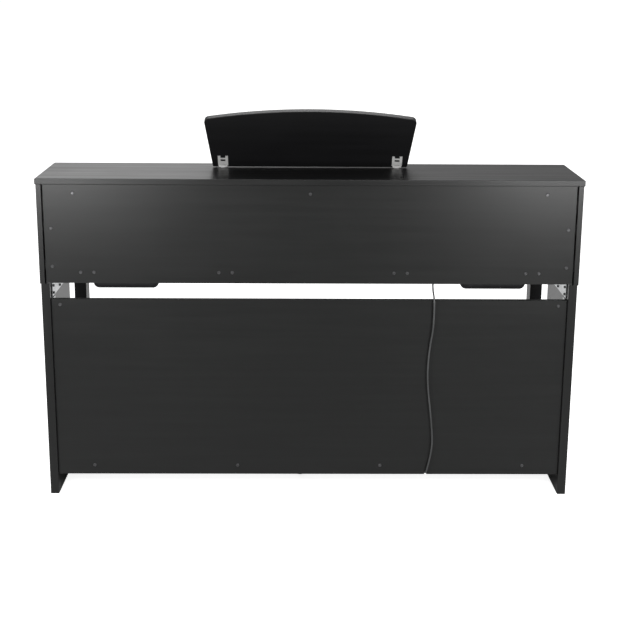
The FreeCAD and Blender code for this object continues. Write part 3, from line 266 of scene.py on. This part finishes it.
BLACK = (0.0108, 0.0112, 0.0110)
BLACK_GRAIN = (0.0140, 0.0145, 0.0142)
# Painted shade: the lid top's black is made darker than the other foil to stand for the shade under
# the music rest.
LID_BLACK_PAINTED_SHADE = (0.0006, 0.0006, 0.0008)
LID_GRAIN_PAINTED_SHADE = (0.0015, 0.0014, 0.0020)
# Painted shade: the music rest's black is made darker because its back faces away from the lights.
REST_BLACK_PAINTED_SHADE = (0.0014, 0.0014, 0.0018)
REST_GRAIN_PAINTED_SHADE = (0.0026, 0.0026, 0.0032)
# Painted shade: the legs' black is made darker because they stand unlit in the shadow of the
# console.
LEG_BLACK_PAINTED_SHADE = (0.0022, 0.0022, 0.0022)
PANEL_MATERIAL = laminate("panel_laminate", BLACK, BLACK_GRAIN, ALONG_X, 0.38, 0.5)
UPRIGHT_MATERIAL = laminate("upright_laminate", BLACK, BLACK_GRAIN, ALONG_Z, 0.34, 0.6)
LEG_MATERIAL_PAINTED_SHADE = laminate("leg_laminate_painted_shade", LEG_BLACK_PAINTED_SHADE, REST_GRAIN_PAINTED_SHADE, ALONG_Z, 0.36, 0.6, rubbing_and_highlight=0.3,
                        gloss=0.25)
LID_MATERIAL_PAINTED_SHADE_AND_HIGHLIGHT = laminate("lid_laminate_painted_shade_and_highlight", LID_BLACK_PAINTED_SHADE, LID_GRAIN_PAINTED_SHADE, ALONG_X, 0.37, 3.0,
                        edge_band=(BLACK, BLACK_GRAIN, 0.40), rubbing_and_highlight=0.6)
REST_MATERIAL_PAINTED_SHADE = laminate("rest_laminate_painted_shade", REST_BLACK_PAINTED_SHADE, REST_GRAIN_PAINTED_SHADE, ALONG_X, 0.46, 0.6,
                         rubbing_and_highlight=0.2, gloss=0.4)
CASE_MATERIAL = laminate("case_laminate", BLACK, BLACK_GRAIN, ALONG_Y, 0.38, 0.6)
WHITE_KEYS = plastic("white_keys", (0.83, 0.82, 0.77), 0.22, texture=500.0, bump=0.02,
                     variation=0.05, edge=0.1)
BLACK_KEYS = plastic("black_keys", (0.018, 0.018, 0.019), 0.42, texture=700.0, bump=0.12)
BLACK_PLASTIC = plastic("black_plastic", (0.022, 0.022, 0.024), 0.45)
CHASSIS = metal("chassis_paint", (0.10, 0.10, 0.105), 0.5)
GALVANISED = metal("galvanised", (0.66, 0.67, 0.68), 0.38, spangle=0.5, bump=0.06)
NICKEL = metal("nickel", (0.62, 0.62, 0.61), 0.42, brush=(1, 0.1, 1), metallic=0.35)
BLACK_ZINC = metal("black_zinc", (0.020, 0.020, 0.021), 0.30, metallic=0.3)
PANEL_SCREW = metal("panel_screw_finish", (0.16, 0.16, 0.165), 0.32, metallic=0.7)
BRASS = metal("pedal_brass", (0.83, 0.62, 0.28), 0.18, brush=(1, 0.06, 1),
              tarnish=(0.62, 0.42, 0.17))
BOARD_GREEN = plastic("solder_mask", (0.02, 0.12, 0.05), 0.3)
SHEATH = plastic("cable_sheath", (0.085, 0.087, 0.088), 0.38, texture=600.0, bump=0.05)
RUBBER = plastic("rubber", (0.015, 0.015, 0.015), 0.7, bump=0.2)

# By the material that the record names for the node.
SLOT_MATERIALS = {
    "black_laminate": PANEL_MATERIAL,
    "white_key_plastic": WHITE_KEYS,
    "black_key_plastic": BLACK_KEYS,
    "black_plastic": BLACK_PLASTIC,
    "chassis_steel": CHASSIS,
    "galvanised_steel": GALVANISED,
    "nickel_steel": NICKEL,
    "black_steel": BLACK_ZINC,
    "circuit_board": BOARD_GREEN,
    "pedal_brass": BRASS,
    "cable_sheath": SHEATH,
    "rubber_bush": RUBBER,
}
# Nodes that look different from their material's usual finish. The lid top, the music rest and the
# front legs get darker copies of the black foil as painted shade.
NODE_MATERIALS = {
    "lid_top": LID_MATERIAL_PAINTED_SHADE_AND_HIGHLIGHT,
    "music_rest": REST_MATERIAL_PAINTED_SHADE,
    "panel_screws": PANEL_SCREW,
    "cheek_left": CASE_MATERIAL,
    "cheek_right": CASE_MATERIAL,
    "side_board_left": UPRIGHT_MATERIAL,
    "side_board_right": UPRIGHT_MATERIAL,
    "front_leg_left": LEG_MATERIAL_PAINTED_SHADE,
    "front_leg_right": LEG_MATERIAL_PAINTED_SHADE,
    "foot_left": CASE_MATERIAL,
    "foot_right": CASE_MATERIAL,
}


def paint(obj, material):
    """Give the object that one material."""
    obj.data.materials.clear()
    obj.data.materials.append(material)


def paint_nodes():
    """Paint each node by its own entry, or else by its material in the record."""
    slots = {entry["node"]: entry["material_slot"] for entry in frame["record"]["subparts"]}
    for name, obj in NODES.items():
        paint(obj, NODE_MATERIALS.get(name, SLOT_MATERIALS[slots[name]]))


paint_nodes()


# ---------------------------------------------------------------- pedal cable

CABLE_DIAMETER = 0.0045
# From the plug under the key bed down to the pedal box: X, setback from the rear edge and
# height, in millimetres.
CABLE_ROUTE = [
    (-318.5, 34.0, 579.0),
    (-318.5, 34.0, 560.0),
    (-319.5, 1.5, 543.5),
    (-320.5, 4.5, 505.0),
    (-319.0, 3.0, 462.0),
    (-312.0, 4.5, 415.0),
    (-307.5, 3.0, 360.0),
    (-309.0, 4.5, 308.0),
    (-316.0, 3.0, 250.0),
    (-322.5, 4.5, 195.0),
    (-326.0, 3.0, 145.0),
    (-321.0, 4.5, 104.0),
    (-315.5, 3.5, 80.0),
    (-310.5, 5.0, 56.5),
    (-310.5, 23.0, 56.5),
]


def pedal_cable():
    """The cord that hangs outside the lower rear panel, as one smooth curve."""
    curve = bpy.data.curves.new("pedal_cable_run", "CURVE")
    curve.dimensions = "3D"
    curve.bevel_depth = CABLE_DIAMETER / 2
    curve.bevel_resolution = 5
    curve.resolution_u = 16
    curve.use_fill_caps = True
    spline = curve.splines.new("NURBS")
    spline.points.add(len(CABLE_ROUTE) - 1)
    for control, place in zip(spline.points, CABLE_ROUTE):
        control.co = (*point(*place), 1.0)
    spline.order_u = 3
    spline.use_endpoint_u = True
    run = bpy.data.objects.new("pedal_cable_run", curve)
    bpy.context.scene.collection.objects.link(run)
    paint(run, SHEATH)
    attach(run, "body")
    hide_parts("pedal_cable")


pedal_cable()


# ---------------------------------------------------------------- studio

# Floor: its half width in metres, how bright it looks, and what it sends back to the piano
# from behind (+Y) and from in front (-Y).
FLOOR_HALF = 14.0
FLOOR_GLOW = 0.86
FLOOR_BOUNCE_BACK = 0.30
FLOOR_BOUNCE_FRONT = 0.75
FLOOR_BOUNCE_TURN = (0.9, -0.5)      # the Y over which one passes into the other
FLOOR_GLOW_FRONT = 0.5
FLOOR_GLOW_TURN = (-0.4, -1.4)

# Room that the piano reflects, as brightness: in front towards each end, behind and above.
# The turns are the stretches of the direction vector over which one passes into the next.
ROOM_FRONT_BASS = 0.42
ROOM_FRONT_TREBLE = 1.3
ROOM_SIDE_TREBLE = 0.50
ROOM_BACK = 0.22
CEILING = 0.75
MIDDLE_TURN = (-0.08, 0.12)
SIDE_TURN = (0.3, 0.5)
HORIZON_TURN = (0.25, -0.5)
CEILING_TURN = (0.3, 0.95)
BACKDROP = 1.05

# Two softboxes behind the piano, mirrored, and one over the keys: places and aims in metres,
# powers in watts.
SOFTBOX_X = 0.9
SOFTBOX_AIM_X = 0.6
SOFTBOX_Y = 1.2
SOFTBOX_AIM_Y = 0.2
SOFTBOX_HEIGHT = 0.95
SOFTBOX_AIM_HEIGHT = 0.7
SOFTBOX_SIDE = 0.5
SOFTBOX_POWER = 11.5
KEY_LIGHT_PLACE = (0, -0.75, 2.1)
KEY_LIGHT_AIM = (0, -0.15, 0.7)
KEY_LIGHT_LENGTH = 1.4
KEY_LIGHT_WIDTH = 0.5
KEY_LIGHT_POWER = 12.5


def by_ray(tree, seen, felt_by_object):
    """Show one shader to the camera and another to the light that reaches the object."""
    path = tree.nodes.new("ShaderNodeLightPath")
    choice = tree.nodes.new("ShaderNodeMixShader")
    tree.links.new(path.outputs["Is Camera Ray"], choice.inputs["Fac"])
    tree.links.new(felt_by_object, choice.inputs[1])
    tree.links.new(seen, choice.inputs[2])
    return choice.outputs["Shader"]


def floor():
    """Pale floor. It returns little light behind the piano and more in front of it."""
    mesh = bpy.data.meshes.new("studio_floor")
    corners = [(x * FLOOR_HALF, y * FLOOR_HALF, 0) for x, y in ((-1, -1), (1, -1), (1, 1), (-1, 1))]
    mesh.from_pydata(corners, [], [(0, 1, 2, 3)])
    obj = bpy.data.objects.new("studio_floor", mesh)
    bpy.context.scene.collection.objects.link(obj)
    m = Nodes("studio_floor")
    cloud = m.noise(1.5, detail=3.0)
    m.set("Base Color", m.mix(cloud, (0.84, 0.84, 0.84), (0.88, 0.88, 0.88)))
    m.set("Roughness", 0.8)
    m.set("Specular IOR Level", 0.1)
    m.set("Emission Color", (1.0, 1.0, 1.0))
    m.set("Emission Strength", FLOOR_GLOW)
    place = m.add("ShaderNodeSeparateXYZ")
    m.link(m.coordinates, place.inputs["Vector"])
    front = m.remap(place.outputs["Y"], *FLOOR_BOUNCE_TURN, 0.0, 1.0)
    diffuse = m.add("ShaderNodeBsdfDiffuse")
    m.link(m.mix(front, (FLOOR_BOUNCE_BACK,) * 3, (FLOOR_BOUNCE_FRONT,) * 3),
           diffuse.inputs["Color"])
    glow = m.add("ShaderNodeEmission")
    m.link(m.remap(place.outputs["Y"], *FLOOR_GLOW_TURN, 0.0, FLOOR_GLOW_FRONT),
           glow.inputs["Strength"])
    bounce = m.add("ShaderNodeAddShader")
    m.link(diffuse.outputs["BSDF"], bounce.inputs[0])
    m.link(glow.outputs["Emission"], bounce.inputs[1])
    both = by_ray(m.tree, m.shader.outputs["BSDF"], bounce.outputs["Shader"])
    m.link(both, m.output.inputs["Surface"])
    paint(obj, m.material)


def area_light(name, place, target, size, size_y, power):
    """Rectangular light at place, turned towards target; it stays out of the picture."""
    data = bpy.data.lights.new(name, "AREA")
    data.shape = "RECTANGLE"
    data.size = size
    data.size_y = size_y
    data.energy = power
    light = bpy.data.objects.new(name, data)
    bpy.context.scene.collection.objects.link(light)
    light.location = place
    light.rotation_mode = "QUATERNION"
    light.rotation_quaternion = (Vector(target) - Vector(place)).to_track_quat("-Z", "Y")
    light.visible_camera = False


def surroundings():
    """White to the camera. The piano reflects a room that is brightest in front of it on the
    treble side of the middle, less bright further round, dim behind and soft above."""
    world = bpy.data.worlds.new("studio")
    bpy.context.scene.world = world
    world.use_nodes = True
    tree = world.node_tree
    tree.nodes.clear()

    def add(kind):
        return tree.nodes.new(kind)

    def ramp(source, low, high, to_low, to_high):
        node = add("ShaderNodeMapRange")
        node.interpolation_type = "SMOOTHSTEP"
        for socket, value in (("From Min", low), ("From Max", high)):
            node.inputs[socket].default_value = value
        for socket, value in (("To Min", to_low), ("To Max", to_high)):
            if isinstance(value, float):
                node.inputs[socket].default_value = value
            else:
                tree.links.new(value, node.inputs[socket])
        tree.links.new(source, node.inputs["Value"])
        return node.outputs["Result"]

    direction = add("ShaderNodeSeparateXYZ")
    tree.links.new(add("ShaderNodeTexCoord").outputs["Generated"], direction.inputs["Vector"])
    across, depth, height = (direction.outputs[axis] for axis in "XYZ")
    front = ramp(across, *MIDDLE_TURN, ROOM_FRONT_BASS, ROOM_FRONT_TREBLE)
    front = ramp(across, *SIDE_TURN, front, ROOM_SIDE_TREBLE)
    horizon = ramp(depth, *HORIZON_TURN, ROOM_BACK, front)
    level = ramp(height, *CEILING_TURN, horizon, CEILING)
    room = add("ShaderNodeBackground")
    room.inputs["Color"].default_value = (1.0, 1.0, 1.0, 1.0)
    tree.links.new(level, room.inputs["Strength"])
    white = add("ShaderNodeBackground")
    white.inputs["Color"].default_value = (1.0, 1.0, 1.0, 1.0)
    white.inputs["Strength"].default_value = BACKDROP
    output = add("ShaderNodeOutputWorld")
    both = by_ray(tree, white.outputs["Background"], room.outputs["Background"])
    tree.links.new(both, output.inputs["Surface"])


def studio():
    floor()
    surroundings()
    for name, side in (("soft_treble", 1), ("soft_bass", -1)):
        place = (side * SOFTBOX_X, SOFTBOX_Y, SOFTBOX_HEIGHT)
        aim = (side * SOFTBOX_AIM_X, SOFTBOX_AIM_Y, SOFTBOX_AIM_HEIGHT)
        area_light(name, place, aim, SOFTBOX_SIDE, SOFTBOX_SIDE, SOFTBOX_POWER)
    area_light("soft_keys", KEY_LIGHT_PLACE, KEY_LIGHT_AIM, KEY_LIGHT_LENGTH, KEY_LIGHT_WIDTH,
               KEY_LIGHT_POWER)


# ---------------------------------------------------------------- camera

# Place in metres; angles in radians: yaw from straight at -Y, pitch downward, roll.
CAMERA_PLACE = (0.02477, REAR + 2.53537, 1.37252)
YAW = -0.00923
PITCH = 0.20141
ROLL = 0.00606
LENS = 60.14             # millimetres, with SENSOR_WIDTH
SENSOR_WIDTH = 36.0
LENS_SHIFT = -0.21       # in frame widths; keeps the piano's uprights almost upright
CLIP_NEAR = 0.05
CLIP_FAR = 100.0


def camera():
    """Behind the piano, a little above it, looking slightly down."""
    data = bpy.data.cameras.new("camera")
    data.sensor_width = SENSOR_WIDTH
    data.lens = LENS
    data.shift_y = LENS_SHIFT
    data.clip_start = CLIP_NEAR
    data.clip_end = CLIP_FAR
    obj = bpy.data.objects.new("camera", data)
    bpy.context.scene.collection.objects.link(obj)
    forward = Vector((math.sin(YAW) * math.cos(PITCH), -math.cos(YAW) * math.cos(PITCH),
                      -math.sin(PITCH)))
    level = Vector((-math.cos(YAW), -math.sin(YAW), 0))
    upward = level.cross(forward)
    right = level * math.cos(ROLL) + upward * math.sin(ROLL)
    up = upward * math.cos(ROLL) - level * math.sin(ROLL)
    turn = Matrix((right, up, -forward)).transposed().to_4x4()
    obj.matrix_world = Matrix.Translation(CAMERA_PLACE) @ turn
    bpy.context.scene.camera = obj


studio()
camera()
bpy.context.scene.view_settings.view_transform = "Standard"
bpy.context.scene.view_settings.look = "None"
